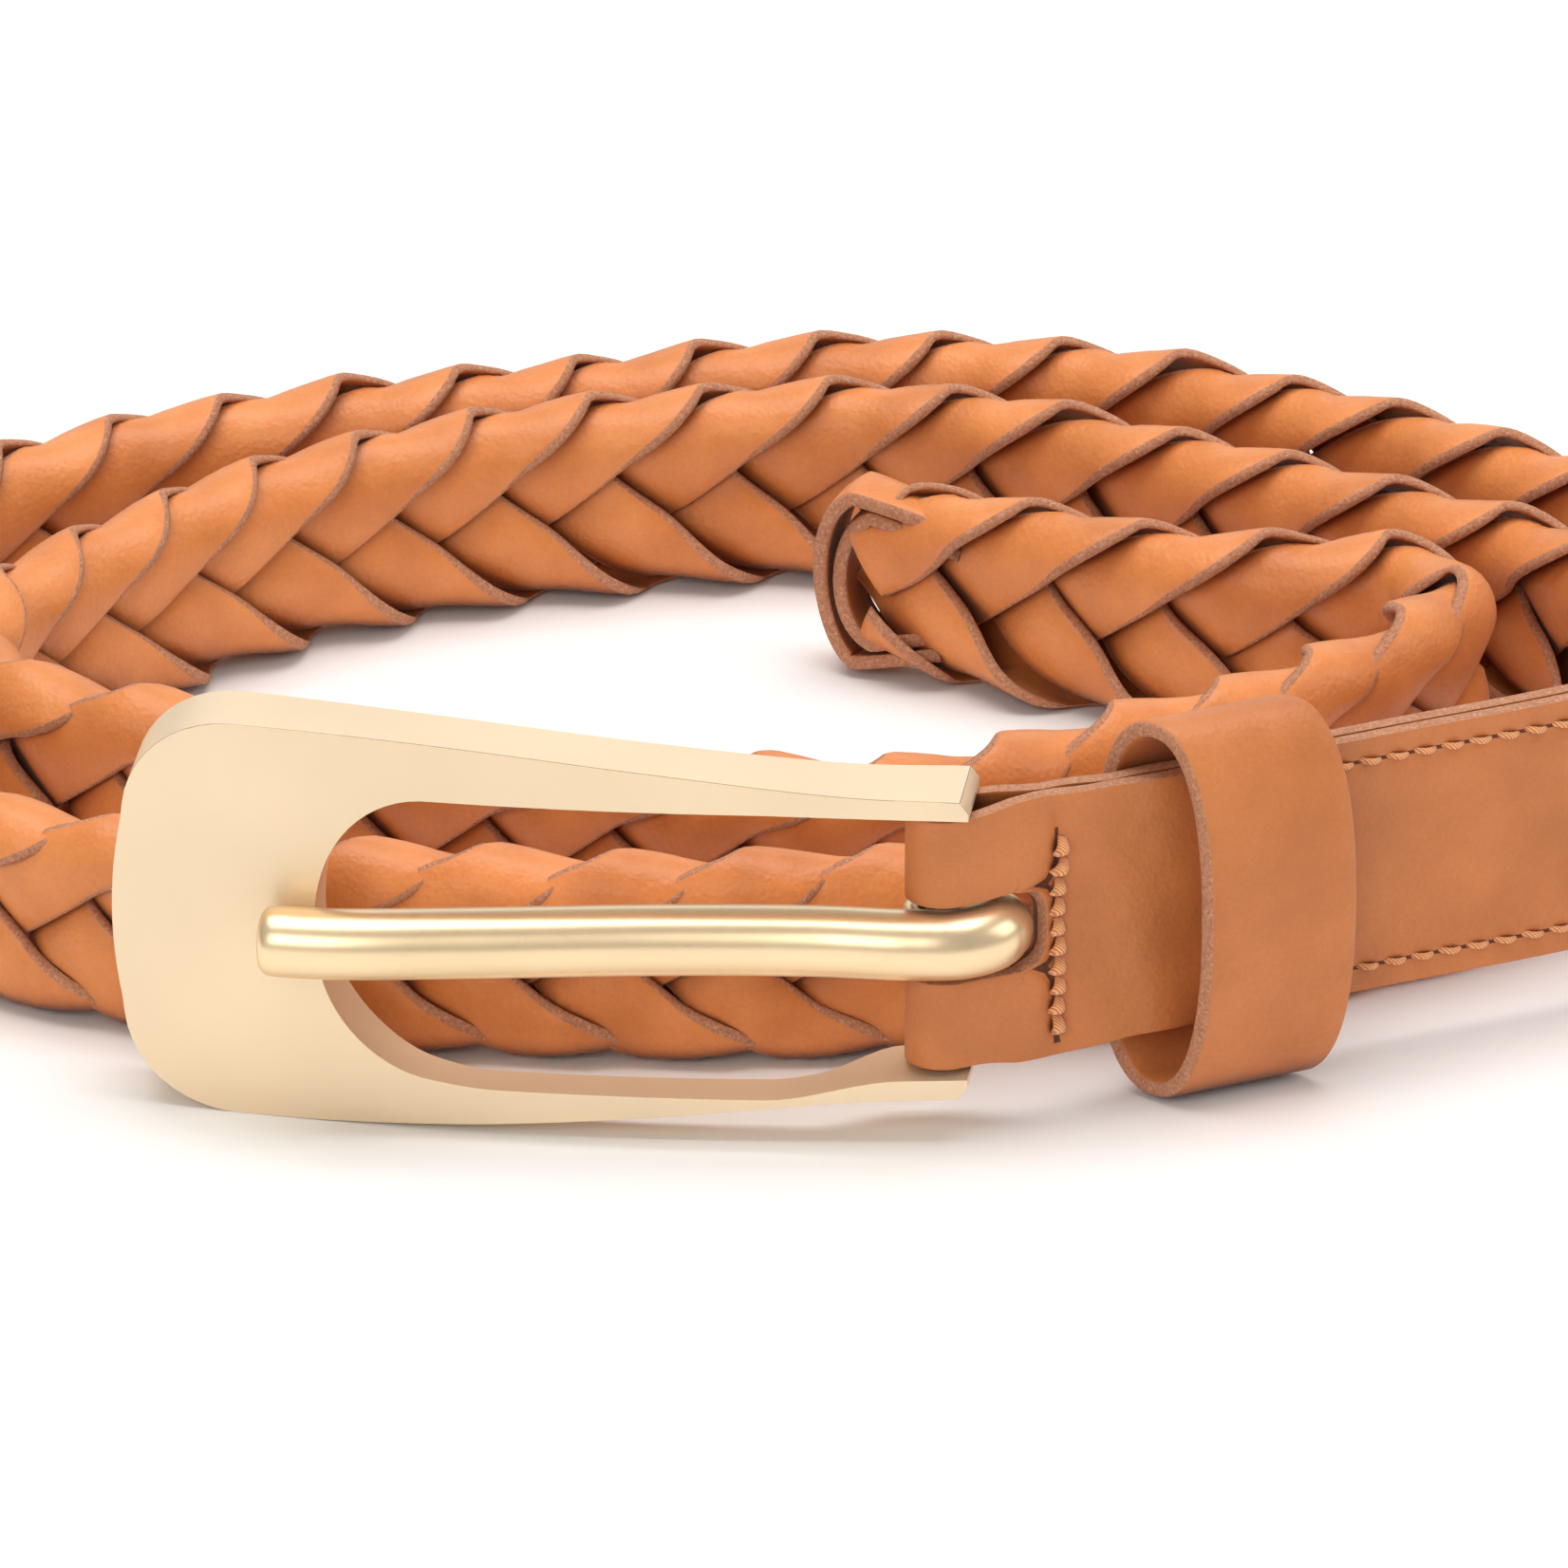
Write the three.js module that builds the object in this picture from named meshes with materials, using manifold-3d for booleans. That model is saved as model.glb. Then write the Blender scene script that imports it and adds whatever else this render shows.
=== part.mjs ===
// Braided leather belt with a long plate buckle, rolled up and standing on its long edge.
// Millimetres, +Z up. The origin is the middle of the footprint, on the surface it stands on.
import * as THREE from 'three';
import { mergeVertices } from 'three/addons/utils/BufferGeometryUtils.js';
import Module from 'manifold-3d';

// ---------------------------------------------------------------- driving dimensions
const strapWidth = 22.8;
const plyThickness = 1.3;
const plyGap = 0.3;
const strapCentreZ = 17.6;
const tabLength = 96;
const braidWidth = 18.4;
const braidThickness = 4.2;
const clearance = 0.3;
const spanCount = 20;

const barPoint = new THREE.Vector2(13, -0.3);
const barRadius = 1.5;
const strapYaw = THREE.MathUtils.degToRad(25.3);
const strapOffset = -1.4;
const buckleYaw = THREE.MathUtils.degToRad(-7.3);
const buckleCentreZ = 17.5;

const frameLeft = -68.3;
const frameRight = 2.5;
const windowLeft = -51.3;
const windowHalf = 12;
const frameCornerX = -58;
const frameCornerZ = 17.5;
const frameCornerRadius = 9;
const windowCurveX = -42;
const armInner = 11.6;
const armTaperX = -14;
const frontOffset = -3.5;
const bowHeight = 2.6;
const pocketX = -60;
const pocketWidth = 9;
const pocketHeight = 25;
const pocketWall = 2.6;

const prongRadius = 2.95;
const eyeRadius = 3.3;
const eyeHeight = 5.6;
const slotEnd = 8;
const slotHalf = 3.6;
const foldHalf = 11.15;
const braidInTab = 2.6;

const keeperStart = 17.7;
const keeperWidth = 13.3;
const keeperHeight = 33.6;
const keeperDepth = 12.4;
const keeperThickness = 1.4;
const keeperCentreN = -2.8;
const keeperCentreZ = 17.25;
const keeperShear = 0.43;
const keeperSquareness = 0.86;

const threadRadius = 0.3;
const threadLift = 0.2;
const stitchRise = 0.15;
const stitchPitch = 2.6;
const edgeInset = 2.1;
const barTackAt = 9.2;
const barTackHalf = 9.4;
const seamStart = 34;

// The belt's line in plan, from the hinge bar outwards and then round and round to the tip.
const strapDirection = new THREE.Vector2(Math.cos(strapYaw), Math.sin(strapYaw));
const strapNormal = new THREE.Vector2(-Math.sin(strapYaw), Math.cos(strapYaw));
const straightRun = [0, 20, 40, 58].map((s) => barPoint.clone()
  .addScaledVector(strapDirection, s)
  .addScaledVector(strapNormal, strapOffset));
const outerTurn = [
  [77, 30], [86.5, 41.5], [90, 57], [87, 74], [79, 89], [67.6, 98.6], [49, 112], [31.4, 121],
  [8, 124.5], [-18.7, 118.8], [-40.9, 113.2], [-60.5, 104.5], [-76, 91], [-84, 74], [-86, 58],
  [-82, 42], [-73.5, 31], [-63, 23.8],
];
const middleTurn = [
  [-50, 18.4], [-32, 15], [-14.6, 13.4], [2.5, 13.6], [18, 16.6], [33, 21.6], [48, 28.5],
  [62, 37.5], [72, 49], [76, 62], [73, 75], [63.8, 85.5], [54.9, 91], [42.9, 98.4], [24, 109],
  [8.6, 114], [-5.5, 112.8], [-18.7, 110], [-30, 106], [-43.3, 98.3], [-56.9, 85.3],
];
const innerTurn = [
  [-66.5, 73], [-69.5, 62], [-66, 54], [-56, 47.5], [-30, 38.7], [-13, 34.5], [3.5, 32.3],
  [13.8, 34.2], [22, 38.7], [31, 44.5], [44, 54], [53.5, 64.5], [57.5, 73.5], [53, 80],
  [42, 80.5], [33, 82.3], [24, 86.3], [14, 91], [3, 95.5],
];
const routePoints = [
  ...straightRun.map((p) => new THREE.Vector3(p.x, p.y, 0)),
  ...[...outerTurn, ...middleTurn, ...innerTurn].map(([x, y]) => new THREE.Vector3(x, y, 0)),
];
const route = new THREE.CatmullRomCurve3(routePoints, false, 'centripetal');
route.arcLengthDivisions = 3000;
const routeLength = route.getLength();

// ---------------------------------------------------------------- materials
const leather = () => new THREE.MeshStandardMaterial({ color: 0xc9814f, roughness: 0.55 });
const thread = () => new THREE.MeshStandardMaterial({ color: 0xe0965c, roughness: 0.7 });
const paleGold = () => new THREE.MeshStandardMaterial({
  color: 0xeed3a6, roughness: 0.35, metalness: 1,
});
const brightGold = () => new THREE.MeshStandardMaterial({
  color: 0xe8c98f, roughness: 0.15, metalness: 1,
});
const steel = () => new THREE.MeshStandardMaterial({
  color: 0xb9b6b0, roughness: 0.3, metalness: 1,
});

const belt = new THREE.Group();
const buckle = new THREE.Group();
buckle.position.set(barPoint.x, barPoint.y, buckleCentreZ);
buckle.rotation.z = buckleYaw;
belt.add(buckle);

function addMesh(parent, name, geometry, material) {
  const mesh = new THREE.Mesh(geometry, material);
  mesh.name = name;
  parent.add(mesh);
  return mesh;
}

// ---------------------------------------------------------------- booleans
const wasm = await Module();
wasm.setup();

function toSolid(geometry) {
  const bare = geometry.clone();
  bare.deleteAttribute('normal');
  bare.deleteAttribute('uv');
  const merged = mergeVertices(bare, 1e-4);
  const count = merged.attributes.position.count;
  const index = merged.index ? merged.index.array : Uint32Array.from({ length: count }, (_, i) => i);
  return new wasm.Manifold(new wasm.Mesh({
    numProp: 3,
    vertProperties: new Float32Array(merged.attributes.position.array),
    triVerts: new Uint32Array(index),
  }));
}

function toGeometry(solid) {
  const mesh = solid.getMesh();
  const geometry = new THREE.BufferGeometry();
  geometry.setAttribute('position', new THREE.BufferAttribute(mesh.vertProperties, 3));
  geometry.setIndex(new THREE.BufferAttribute(mesh.triVerts, 1));
  geometry.computeVertexNormals();
  return geometry;
}

// ---------------------------------------------------------------- swept solids
// A closed solid through a list of rings. Every ring is a list of points in the same order.
function loft(rings) {
  const sides = rings[0].length;
  const positions = rings.flat().flatMap((p) => [p.x, p.y, p.z]);
  const index = [];
  for (let i = 0; i < rings.length - 1; i += 1) {
    for (let j = 0; j < sides; j += 1) {
      const a = i * sides + j;
      const b = i * sides + (j + 1) % sides;
      index.push(a, b, b + sides, a, b + sides, a + sides);
    }
  }
  const last = (rings.length - 1) * sides;
  for (let j = 1; j < sides - 1; j += 1) {
    index.push(0, j + 1, j);
    index.push(last, last + j, last + j + 1);
  }
  const geometry = new THREE.BufferGeometry();
  geometry.setAttribute('position', new THREE.Float32BufferAttribute(positions, 3));
  geometry.setIndex(index);
  geometry.computeVertexNormals();
  return geometry;
}

// Height of the belt's centre line: the tab is held up by the buckle, the braid is on the ground.
function centreZ(s) {
  const t = THREE.MathUtils.smoothstep(s, 62, 150);
  return THREE.MathUtils.lerp(strapCentreZ, braidWidth / 2, t);
}

// A point beside the route: n is the distance towards the route's left side.
function beside(s, n, z) {
  const u = THREE.MathUtils.clamp(s / routeLength, 0, 1);
  const p = route.getPointAt(u);
  const t = route.getTangentAt(u);
  return new THREE.Vector3(p.x - t.y * n, p.y + t.x * n, z);
}

// Rounded upright section of the braid, half width by half thickness, flat top and bottom.
function braidRing(s, halfThickness, halfWidth) {
  const z = centreZ(s);
  const flat = 0.45 * halfThickness;
  const bend = halfWidth - 1.5;
  return [
    beside(s, flat, z - halfWidth), beside(s, halfThickness, z - bend),
    beside(s, halfThickness, z + bend), beside(s, flat, z + halfWidth),
    beside(s, -flat, z + halfWidth), beside(s, -halfThickness, z + bend),
    beside(s, -halfThickness, z - bend), beside(s, -flat, z - halfWidth),
  ];
}

// ---------------------------------------------------------------- buckle frame
// Half height of the plate's outline at a distance x from the bar.
const outlineCurve = new THREE.CatmullRomCurve3([
  [2.5, 13.3], [-7, 13.7], [-23, 15.4], [-38, 16.8], [-50, 17.4],
  [frameCornerX, frameCornerZ],
].map(([x, z]) => new THREE.Vector3(x, z, 0)), false, 'centripetal');

function frameOutline() {
  const upper = outlineCurve.getPoints(14).map((p) => [p.x, p.y]);
  for (let i = 1; i <= 6; i += 1) {
    const a = (i / 6) * Math.PI / 2;
    const x = frameCornerX + (frameLeft + 0.8 - frameCornerX) * Math.sin(a);
    upper.push([x, frameCornerZ - frameCornerRadius * (1 - Math.cos(a))]);
  }
  upper.push([frameLeft - 0.1, 4.2]);
  const lower = upper.slice().reverse().map(([x, z]) => [x, -z]);
  const inner = [];
  for (let i = 0; i <= 20; i += 1) {
    const a = -Math.PI / 2 - (i / 20) * Math.PI;
    const x = windowCurveX + (windowCurveX - windowLeft) * Math.cos(a);
    inner.push([x, windowHalf * Math.sign(Math.sin(a)) * Math.abs(Math.sin(a)) ** 0.9]);
  }
  return [...upper, ...lower, [frameRight, -armInner], [armTaperX, -windowHalf], ...inner,
    [armTaperX, windowHalf], [frameRight, armInner]];
}

// The plate bows towards its front between the bar and the free end, and its wall is deeper at
// both ends than in the middle.
function frontY(x) {
  const t = (frameRight - x) / (frameRight - frameLeft);
  return frontOffset - bowHeight * Math.sin(Math.PI * THREE.MathUtils.clamp(t, 0, 1));
}

function wallDepth(x) {
  return 6.2 + 1.5 * ((x + 35) / 37) ** 2;
}

function makeFrame() {
  const shape = new THREE.Shape(frameOutline().map(([x, z]) => new THREE.Vector2(x, z)));
  const geometry = new THREE.ExtrudeGeometry(shape, { depth: 1, bevelEnabled: false });
  const position = geometry.attributes.position;
  for (let i = 0; i < position.count; i += 1) {
    const x = position.getX(i);
    const z = position.getY(i);
    const back = position.getZ(i) > 0.5;
    position.setXYZ(i, x, frontY(x) + (back ? wallDepth(x) : 0), z);
  }
  flipFaces(geometry);
  const bar = new THREE.CylinderGeometry(barRadius + clearance, barRadius + clearance, 40, 24);
  bar.rotateX(Math.PI / 2);
  const pocketReach = 8;
  const pocket = new THREE.BoxGeometry(pocketWidth, pocketReach, pocketHeight);
  pocket.translate(pocketX, frontY(pocketX) + pocketWall + pocketReach / 2, 0);
  return toGeometry(toSolid(geometry).subtract(toSolid(bar)).subtract(toSolid(pocket)));
}

// Swapping Y and Z mirrors a solid, so its faces are turned round again.
function flipFaces(geometry) {
  const position = geometry.attributes.position;
  const array = position.array;
  for (let i = 0; i < array.length; i += 9) {
    for (let k = 0; k < 3; k += 1) {
      const keep = array[i + 3 + k];
      array[i + 3 + k] = array[i + 6 + k];
      array[i + 6 + k] = keep;
    }
  }
  position.needsUpdate = true;
}

addMesh(buckle, 'buckle_frame', makeFrame(), paleGold());

const barGeometry = new THREE.CylinderGeometry(barRadius, barRadius, 26.4, 20);
barGeometry.rotateX(Math.PI / 2);
addMesh(buckle, 'hinge_bar', barGeometry, steel());

// ---------------------------------------------------------------- prong
const prongLine = new THREE.CatmullRomCurve3([
  [-55.4, -8.6], [-49, -8.55], [-38, -6.9], [-23, -4.4], [-10, -2.9], [-2.5, -2.7],
  [1.6, -2.0], [4, 0], [4.4, 2.4],
].map(([x, y]) => new THREE.Vector3(x, y, 0)), false, 'centripetal');

function makeProng() {
  const round = new THREE.Shape();
  round.absarc(0, 0, prongRadius, 0, Math.PI * 2, false);
  const rod = new THREE.ExtrudeGeometry(round, {
    steps: 34, curveSegments: 8, bevelEnabled: false, extrudePath: prongLine,
  });
  const eye = new THREE.CylinderGeometry(eyeRadius, eyeRadius, eyeHeight, 24);
  eye.rotateX(Math.PI / 2);
  const hole = new THREE.CylinderGeometry(barRadius + clearance, barRadius + clearance, 20, 24);
  hole.rotateX(Math.PI / 2);
  return toGeometry(toSolid(rod).add(toSolid(eye)).subtract(toSolid(hole)));
}

addMesh(buckle, 'prong', makeProng(), brightGold());

// ---------------------------------------------------------------- tab
// The two plies lie face to face and part near the end, where they take in the braid.
function plyMiddle(s) {
  const together = (plyGap + plyThickness) / 2;
  const apart = (braidInTab + plyThickness) / 2 + clearance;
  return THREE.MathUtils.lerp(together, apart, THREE.MathUtils.smoothstep(s, 68, 80));
}

// One strip of leather: up the front ply, round the bar and back down the rear ply.
function makeTab() {
  const stations = [];
  const rows = [];
  for (let s = tabLength; s > 60; s -= 3) rows.push(s);
  rows.push(60, 54, 48, 42, 34, 22, 14, 9);
  rows.forEach((s) => stations.push(plyStation(s, -plyMiddle(s))));
  const foldRadius = barRadius + clearance + plyThickness / 2;
  for (let i = 0; i <= 12; i += 1) {
    const a = strapYaw - Math.PI / 2 - (i / 12) * Math.PI;
    const out = new THREE.Vector2(Math.cos(a), Math.sin(a));
    stations.push({ at: barPoint.clone().addScaledVector(out, foldRadius), out, z: strapCentreZ });
  }
  rows.slice().reverse().forEach((s) => stations.push(plyStation(s, plyMiddle(s))));
  const half = strapWidth / 2;
  const rings = stations.map(({ at, out, z, s }) => {
    const h = s === undefined ? foldHalf : half;
    const mid = s === undefined ? buckleCentreZ : z;
    const a = at.clone().addScaledVector(out, plyThickness / 2);
    const b = at.clone().addScaledVector(out, -plyThickness / 2);
    return [
      new THREE.Vector3(a.x, a.y, mid - h), new THREE.Vector3(a.x, a.y, mid + h),
      new THREE.Vector3(b.x, b.y, mid + h), new THREE.Vector3(b.x, b.y, mid - h),
    ];
  });
  const slot = new THREE.BoxGeometry(30, 20, 2 * slotHalf);
  slot.translate(slotEnd - 15, 0, 0);
  slot.rotateZ(strapYaw);
  slot.translate(barPoint.x, barPoint.y, buckleCentreZ);
  return toGeometry(toSolid(loft(rings)).subtract(toSolid(slot)));
}

// Place on a ply: n is the ply's own distance from the middle of the tab, out points outwards.
function plyStation(s, n) {
  const middle = beside(s, 0, 0);
  const p = beside(s, n, 0);
  const out = new THREE.Vector2(p.x - middle.x, p.y - middle.y).normalize();
  return { at: new THREE.Vector2(p.x, p.y), out, z: centreZ(s), s };
}

addMesh(belt, 'tab_strip', makeTab(), leather());

// ---------------------------------------------------------------- threads
// A thread lies along the face of a ply and lifts over the middle of every stitch.
function makeThread(points) {
  const rings = points.map((p, i) => {
    const before = points[Math.max(i - 1, 0)];
    const after = points[Math.min(i + 1, points.length - 1)];
    const along = after.clone().sub(before).normalize();
    const side = new THREE.Vector3(-along.y, along.x, 0);
    if (side.length() < 0.5) side.set(strapDirection.x, strapDirection.y, 0);
    side.normalize();
    const up = new THREE.Vector3().crossVectors(along, side).normalize();
    return [0, 1, 2, 3, 4].map((k) => {
      const a = (k / 5) * Math.PI * 2;
      return p.clone().addScaledVector(side, threadRadius * Math.cos(a))
        .addScaledVector(up, threadRadius * Math.sin(a));
    });
  });
  return loft(rings);
}

function edgeThread(face, edge) {
  const points = [];
  const steps = 2 * Math.round((tabLength - 3 - seamStart) / stitchPitch);
  for (let i = 0; i <= steps; i += 1) {
    const s = seamStart + (i * stitchPitch) / 2;
    const lift = plyThickness / 2 + threadRadius + threadLift + (i % 2) * stitchRise;
    const n = face * (plyMiddle(s) + lift);
    points.push(beside(s, n, centreZ(s) + edge * (strapWidth / 2 - edgeInset)));
  }
  return makeThread(points);
}

function tackThread(face) {
  const points = [];
  const rows = 20;
  for (let i = 0; i <= rows; i += 1) {
    const lift = plyThickness / 2 + threadRadius + threadLift + (i % 2) * stitchRise;
    const z = strapCentreZ - barTackHalf + (2 * barTackHalf * i) / rows;
    points.push(beside(barTackAt, face * (plyMiddle(barTackAt) + lift), z));
  }
  return makeThread(points);
}

for (const [face, side] of [[-1, 'front'], [1, 'back']]) {
  addMesh(belt, `fold_stitching_${side}`, tackThread(face), thread());
  addMesh(belt, `upper_edge_stitching_${side}`, edgeThread(face, 1), thread());
  addMesh(belt, `lower_edge_stitching_${side}`, edgeThread(face, -1), thread());
}

// ---------------------------------------------------------------- keeper
// An oval band round the tab. Its front leans towards the braid, because nothing fills it.
function makeKeeper() {
  const steps = 36;
  const keeperEnd = keeperStart + keeperWidth;
  const corners = [
    [0, keeperStart], [0, keeperEnd], [keeperThickness, keeperEnd], [keeperThickness, keeperStart],
  ];
  const positions = [];
  const place = (s, n, z) => {
    const along = s - keeperShear * (n - keeperCentreN);
    const p = barPoint.clone().addScaledVector(strapDirection, along).addScaledVector(strapNormal, n);
    positions.push(p.x, p.y, z);
  };
  for (let i = 0; i < steps; i += 1) {
    const a = (i / steps) * Math.PI * 2;
    const cos = Math.cos(a);
    const sin = Math.sin(a);
    const n = Math.sign(cos) * Math.abs(cos) ** keeperSquareness;
    const z = Math.sign(sin) * Math.abs(sin) ** keeperSquareness;
    for (const [inset, s] of corners) {
      const reach = keeperDepth / 2 - inset;
      place(s, keeperCentreN + n * reach, keeperCentreZ + z * (keeperHeight / 2 - inset));
    }
  }
  const index = [];
  for (let i = 0; i < steps; i += 1) {
    const next = (i + 1) % steps;
    for (let k = 0; k < 4; k += 1) {
      const a = i * 4 + k;
      const b = i * 4 + (k + 1) % 4;
      const c = next * 4 + (k + 1) % 4;
      const d = next * 4 + k;
      index.push(a, c, b, a, d, c);
    }
  }
  const geometry = new THREE.BufferGeometry();
  geometry.setAttribute('position', new THREE.Float32BufferAttribute(positions, 3));
  geometry.setIndex(index);
  geometry.computeVertexNormals();
  return geometry;
}

addMesh(belt, 'keeper_loop', makeKeeper(), leather());

// ---------------------------------------------------------------- braid
// The braid is solid here, in short spans that follow the roll.
const rootInTab = 14;
const rootLength = 20;
const rootHalfThickness = 1.3;
const braidStart = tabLength - rootInTab;
const tipWrap = 5;
const braidEnd = routeLength - tipWrap;

function makeRoot() {
  const rings = [];
  for (let s = braidStart; s <= braidStart + rootLength; s += 4) {
    const swell = THREE.MathUtils.smoothstep(s, tabLength, braidStart + rootLength);
    const halfThickness = THREE.MathUtils.lerp(rootHalfThickness, braidThickness / 2, swell);
    rings.push(braidRing(s, halfThickness, braidWidth / 2));
  }
  return loft(rings);
}

addMesh(belt, 'braid_root', makeRoot(), leather());

const firstSpan = braidStart + rootLength + clearance;
const spanLength = (braidEnd - firstSpan) / spanCount;
for (let k = 0; k < spanCount; k += 1) {
  const from = firstSpan + k * spanLength;
  const rings = [];
  for (let i = 0; i <= 8; i += 1) {
    const s = from + ((spanLength - clearance) * i) / 8;
    rings.push(braidRing(s, braidThickness / 2, braidWidth / 2));
  }
  addMesh(belt, `braid_span_${String(k + 1).padStart(2, '0')}`, loft(rings), leather());
}

const tipRings = [braidEnd, braidEnd + tipWrap / 2, routeLength]
  .map((s) => braidRing(s, braidThickness / 2 + 0.2, braidWidth / 2));
addMesh(belt, 'tip_binding', loft(tipRings), leather());

// ---------------------------------------------------------------- origin
belt.updateMatrixWorld(true);
const box = new THREE.Box3().setFromObject(belt, true);
belt.position.set(-(box.min.x + box.max.x) / 2, -(box.min.y + box.max.y) / 2, -box.min.z);
belt.updateMatrixWorld(true);

export default belt;
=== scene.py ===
import math
import bmesh
import bpy
import numpy as np
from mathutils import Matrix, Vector


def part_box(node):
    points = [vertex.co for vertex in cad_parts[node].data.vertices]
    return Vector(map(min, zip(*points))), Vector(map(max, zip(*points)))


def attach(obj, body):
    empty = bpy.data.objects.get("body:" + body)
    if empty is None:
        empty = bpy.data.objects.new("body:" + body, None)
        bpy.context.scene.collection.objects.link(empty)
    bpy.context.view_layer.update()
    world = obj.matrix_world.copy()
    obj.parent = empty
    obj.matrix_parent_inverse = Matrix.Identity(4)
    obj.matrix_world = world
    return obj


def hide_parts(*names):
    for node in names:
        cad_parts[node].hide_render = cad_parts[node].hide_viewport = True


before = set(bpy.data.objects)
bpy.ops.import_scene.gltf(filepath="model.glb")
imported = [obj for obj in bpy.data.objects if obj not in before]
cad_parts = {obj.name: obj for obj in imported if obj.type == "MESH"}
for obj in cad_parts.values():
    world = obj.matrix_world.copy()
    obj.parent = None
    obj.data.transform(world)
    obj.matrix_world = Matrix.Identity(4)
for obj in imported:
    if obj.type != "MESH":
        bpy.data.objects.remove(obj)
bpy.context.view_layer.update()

# ------------------------------------------------------------------ driving sizes, in mm
MM = 0.001
STRAP_WIDTH = 22.8
PLY = 1.3
PLY_GAP = 0.3
STRAP_Z = 17.6
TAB_LENGTH = 96.0
TAB_HALF_NARROW = 11.1
ROOT_THICK = 2.6
BRAID_WIDTH = 18.4
STRAP_YAW = math.radians(25.3)
STRAP_ALONG = np.array([math.cos(STRAP_YAW), math.sin(STRAP_YAW)])
STRAP_ACROSS = np.array([-math.sin(STRAP_YAW), math.cos(STRAP_YAW)])
STRAP_OFFSET = -1.4
BUCKLE_YAW = math.radians(-7.3)
BUCKLE_Z = 17.5
BAR_RADIUS = 1.5
BAR_CLEARANCE = 0.3
BORE_LENGTH = 26.46
PLAN_BAR = np.array([13.0, -0.3])

# The frame says where the bar stands; the belt's line in plan is drawn from there.
BAR_LOW, BAR_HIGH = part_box("hinge_bar")
BAR = np.array([(BAR_LOW[0] + BAR_HIGH[0]) / 2, (BAR_LOW[1] + BAR_HIGH[1]) / 2]) / MM
SHIFT = BAR - PLAN_BAR

# ------------------------------------------------------------------ camera
VIEW_TILT = math.radians(24.0)
VIEW_DISTANCE = 1700.0
VIEW_WIDTH = 129.16341
SENSOR_WIDTH = 36.0
VIEW_HEIGHT = 28.07


def make_camera():
    forward = Vector((0, math.cos(VIEW_TILT), -math.sin(VIEW_TILT)))
    up = Vector((0, math.sin(VIEW_TILT), math.cos(VIEW_TILT)))
    data = bpy.data.cameras.new("camera")
    data.sensor_width = SENSOR_WIDTH
    data.lens = SENSOR_WIDTH * VIEW_DISTANCE / VIEW_WIDTH
    data.clip_start = 0.1
    data.clip_end = 20.0
    camera = bpy.data.objects.new("camera", data)
    bpy.context.scene.collection.objects.link(camera)
    target = Vector((SHIFT[0], SHIFT[1], 0)) + up * VIEW_HEIGHT
    camera.location = (target - forward * VIEW_DISTANCE) * MM
    camera.rotation_mode = "QUATERNION"
    camera.rotation_quaternion = forward.to_track_quat("-Z", "Y")
    bpy.context.scene.camera = camera


make_camera()

# ------------------------------------------------------------------ the belt's line in plan
def straight_run():
    """The tab's straight stretch, from the bar to where the belt starts to turn."""
    return [PLAN_BAR + STRAP_ALONG * s + STRAP_ACROSS * STRAP_OFFSET for s in (0, 20, 40, 58)]


OUTER_TURN = [
    (77, 30), (86.5, 41.5), (90, 57), (87, 74), (79, 89), (67.6, 98.6), (49, 112), (31.4, 121),
    (8, 124.5), (-18.7, 118.8), (-40.9, 113.2), (-60.5, 104.5), (-76, 91), (-84, 74), (-86, 58),
    (-82, 42), (-73.5, 31), (-63, 23.8),
]
MIDDLE_TURN = [
    (-50, 18.4), (-32, 15), (-14.6, 13.4), (2.5, 13.6), (18, 16.6), (33, 21.6), (48, 28.5),
    (62, 37.5), (72, 49), (76, 62), (73, 75), (63.8, 85.5), (54.9, 91), (42.9, 98.4), (24, 109),
    (8.6, 114), (-5.5, 112.8), (-18.7, 110), (-30, 106), (-43.3, 98.3), (-56.9, 85.3),
]
INNER_TURN = [
    (-66.5, 73), (-69.5, 62), (-66, 54), (-56, 47.5), (-30, 38.7), (-13, 34.5), (3.5, 32.3),
    (13.8, 34.2), (22, 38.7), (31, 44.5), (44, 54), (53.5, 64.5), (57.5, 73.5), (53, 80),
    (42, 80.5), (33, 82.3), (24, 86.3), (14, 91), (3, 95.5),
]


def unit(vectors):
    return vectors / np.linalg.norm(vectors, axis=-1, keepdims=True)


def as_points(pairs):
    return [np.array(pair, float) for pair in pairs]


def centripetal(points, per_span=40):
    """Points of a centripetal Catmull-Rom curve through the given points."""
    pts = [2 * points[0] - points[1], *points, 2 * points[-1] - points[-2]]
    out = []
    for i in range(1, len(pts) - 2):
        p0, p1, p2, p3 = pts[i - 1:i + 3]
        d0, d1, d2 = (math.sqrt(np.linalg.norm(b - a)) for a, b in ((p0, p1), (p1, p2), (p2, p3)))
        m1 = ((p1 - p0) / d0 - (p2 - p0) / (d0 + d1) + (p2 - p1) / d1) * d1
        m2 = ((p2 - p1) / d1 - (p3 - p1) / (d1 + d2) + (p3 - p2) / d2) * d1
        for t in np.linspace(0, 1, per_span, endpoint=False):
            out.append(
                p1 + m1 * t + (3 * (p2 - p1) - 2 * m1 - m2) * t ** 2
                + (2 * (p1 - p2) + m1 + m2) * t ** 3
            )
    out.append(points[-1])
    return np.array(out)


def make_route():
    """The whole line in plan: distance along it, x, y and unit tangent, every half millimetre."""
    fine = centripetal(straight_run() + as_points(OUTER_TURN + MIDDLE_TURN + INNER_TURN)) + SHIFT
    steps = np.linalg.norm(np.diff(fine, axis=0), axis=1)
    length = np.concatenate([[0], np.cumsum(steps)])
    s = np.arange(0, length[-1], 0.5)
    x = np.interp(s, length, fine[:, 0])
    y = np.interp(s, length, fine[:, 1])
    return s, x, y, unit(np.stack([np.gradient(x), np.gradient(y)], 1))


ROUTE_S, ROUTE_X, ROUTE_Y, ROUTE_T = make_route()
ROUTE_LENGTH = float(ROUTE_S[-1])


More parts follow.
